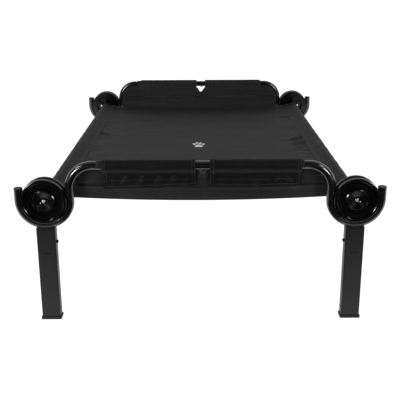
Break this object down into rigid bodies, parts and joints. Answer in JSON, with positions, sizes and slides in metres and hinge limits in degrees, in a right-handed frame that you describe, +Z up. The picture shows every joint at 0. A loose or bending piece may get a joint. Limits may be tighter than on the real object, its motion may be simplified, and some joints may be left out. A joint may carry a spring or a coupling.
{
  "type": "dog bed with frame",
  "caption": "Raised dog cot: fabric deck with turned-up ends on a tubular steel frame, moulded corner discs and slide-on legs.",
  "frame": {"origin": "on the floor under the middle of the bed", "axes": "+X to the bed's right side, +Y along its length to the rear end frame, +Z up"},
  "size_m": [0.93, 1.234, 0.4305],
  "materials": {
    "coated_steel_tube": "satin black powder coat",
    "coated_steel_leg": "satin charcoal powder coat",
    "zinc_plated_steel": "bright zinc plate",
    "moulded_nylon": "moulded, gloss",
    "moulded_foot_plastic": "moulded, fine texture",
    "button_plastic": "moulded",
    "deck_weave": "ribbed polyester weave",
    "canvas_trim": "plain-weave polyester, coated",
    "hook_and_loop_tape": "hook-and-loop tape"
  },
  "bodies": {
    "bed": {"deck_fabric": "deck_weave", "deck_sleeve_left": "deck_weave", "deck_sleeve_right": "deck_weave", "disc_inner_front_left": "moulded_nylon", "disc_inner_front_right": "moulded_nylon", "disc_inner_rear_left": "moulded_nylon", "disc_inner_rear_right": "moulded_nylon", "disc_outer_front_left": "moulded_nylon", "disc_outer_front_right": "moulded_nylon", "disc_outer_rear_left": "moulded_nylon", "disc_outer_rear_right": "moulded_nylon", "disc_rivets": "zinc_plated_steel", "disc_screws": "zinc_plated_steel", "end_panel_front": "deck_weave", "end_panel_rear": "deck_weave", "foot_front_left": "moulded_foot_plastic", "foot_front_right": "moulded_foot_plastic", "foot_rear_left": "moulded_foot_plastic", "foot_rear_right": "moulded_foot_plastic", "frame_clip_springs": "zinc_plated_steel", "frame_end_plugs": "moulded_foot_plastic", "frame_spigot_front": "zinc_plated_steel", "frame_spigot_rear": "zinc_plated_steel", "frame_tube_front_left": "coated_steel_tube", "frame_tube_front_right": "coated_steel_tube", "frame_tube_rear_left": "coated_steel_tube", "frame_tube_rear_right": "coated_steel_tube", "hook_tapes": "hook_and_loop_tape", "leg_clip_springs": "zinc_plated_steel", "leg_front_left": "coated_steel_leg", "leg_front_right": "coated_steel_leg", "leg_rear_left": "coated_steel_leg", "leg_rear_right": "coated_steel_leg", "leg_stub_front_left": "coated_steel_tube", "leg_stub_front_right": "coated_steel_tube", "leg_stub_rear_left": "coated_steel_tube", "leg_stub_rear_right": "coated_steel_tube", "rail_clip_springs": "zinc_plated_steel", "rail_spigot_left": "zinc_plated_steel", "rail_spigot_right": "zinc_plated_steel", "side_rail_front_left": "coated_steel_tube", "side_rail_front_right": "coated_steel_tube", "side_rail_rear_left": "coated_steel_tube", "side_rail_rear_right": "coated_steel_tube"},
    "leg_button_front_left": {"leg_button_front_left": "button_plastic"},
    "flap_front_left": {"flap_front_left": "canvas_trim", "loop_tape_front_left": "hook_and_loop_tape"},
    "leg_button_front_right": {"leg_button_front_right": "button_plastic"},
    "flap_front_right": {"flap_front_right": "canvas_trim", "loop_tape_front_right": "hook_and_loop_tape"},
    "frame_button_front": {"frame_button_front": "button_plastic"},
    "leg_button_rear_left": {"leg_button_rear_left": "button_plastic"},
    "flap_rear_left": {"flap_rear_left": "canvas_trim", "loop_tape_rear_left": "hook_and_loop_tape"},
    "leg_button_rear_right": {"leg_button_rear_right": "button_plastic"},
    "flap_rear_right": {"flap_rear_right": "canvas_trim", "loop_tape_rear_right": "hook_and_loop_tape"},
    "frame_button_rear": {"frame_button_rear": "button_plastic"},
    "rail_button_left": {"rail_button_left": "button_plastic"},
    "rail_button_right": {"rail_button_right": "button_plastic"}
  },
  "joints": [
    {"name": "leg_button_front_left_press", "type": "slide", "parent": "bed", "child": "leg_button_front_left", "axis": [-1, 0, 0], "range_m": [0, 0.006], "stiffness_N_per_m": 3000, "springref_m": -0.002, "deforming": ["leg_clip_springs"]},
    {"name": "leg_button_front_right_press", "type": "slide", "parent": "bed", "child": "leg_button_front_right", "axis": [1, 0, 0], "range_m": [0, 0.006], "stiffness_N_per_m": 3000, "springref_m": -0.002, "deforming": ["leg_clip_springs"]},
    {"name": "leg_button_rear_left_press", "type": "slide", "parent": "bed", "child": "leg_button_rear_left", "axis": [-1, 0, 0], "range_m": [0, 0.006], "stiffness_N_per_m": 3000, "springref_m": -0.002, "deforming": ["leg_clip_springs"]},
    {"name": "leg_button_rear_right_press", "type": "slide", "parent": "bed", "child": "leg_button_rear_right", "axis": [1, 0, 0], "range_m": [0, 0.006], "stiffness_N_per_m": 3000, "springref_m": -0.002, "deforming": ["leg_clip_springs"]},
    {"name": "frame_button_front_press", "type": "slide", "parent": "bed", "child": "frame_button_front", "axis": [0, 0, 1], "range_m": [0, 0.005], "stiffness_N_per_m": 2500, "springref_m": -0.002, "deforming": ["frame_clip_springs"]},
    {"name": "frame_button_rear_press", "type": "slide", "parent": "bed", "child": "frame_button_rear", "axis": [0, 0, 1], "range_m": [0, 0.005], "stiffness_N_per_m": 2500, "springref_m": -0.002, "deforming": ["frame_clip_springs"]},
    {"name": "rail_button_left_press", "type": "slide", "parent": "bed", "child": "rail_button_left", "axis": [-1, 0, 0], "range_m": [0, 0.005], "stiffness_N_per_m": 2500, "springref_m": -0.002, "deforming": ["rail_clip_springs"]},
    {"name": "rail_button_right_press", "type": "slide", "parent": "bed", "child": "rail_button_right", "axis": [1, 0, 0], "range_m": [0, 0.005], "stiffness_N_per_m": 2500, "springref_m": -0.002, "deforming": ["rail_clip_springs"]},
    {"name": "flap_front_left_lift", "type": "hinge", "parent": "bed", "child": "flap_front_left", "pos_m": [-0.13, -0.6, 0.415], "axis": [-1, 0, 0], "range_deg": [0, 75]},
    {"name": "flap_front_right_lift", "type": "hinge", "parent": "bed", "child": "flap_front_right", "pos_m": [0.13, -0.6, 0.415], "axis": [-1, 0, 0], "range_deg": [0, 75]},
    {"name": "flap_rear_left_lift", "type": "hinge", "parent": "bed", "child": "flap_rear_left", "pos_m": [-0.13, 0.6, 0.415], "axis": [1, 0, 0], "range_deg": [0, 75]},
    {"name": "flap_rear_right_lift", "type": "hinge", "parent": "bed", "child": "flap_rear_right", "pos_m": [0.13, 0.6, 0.415], "axis": [1, 0, 0], "range_deg": [0, 75]}
  ]
}
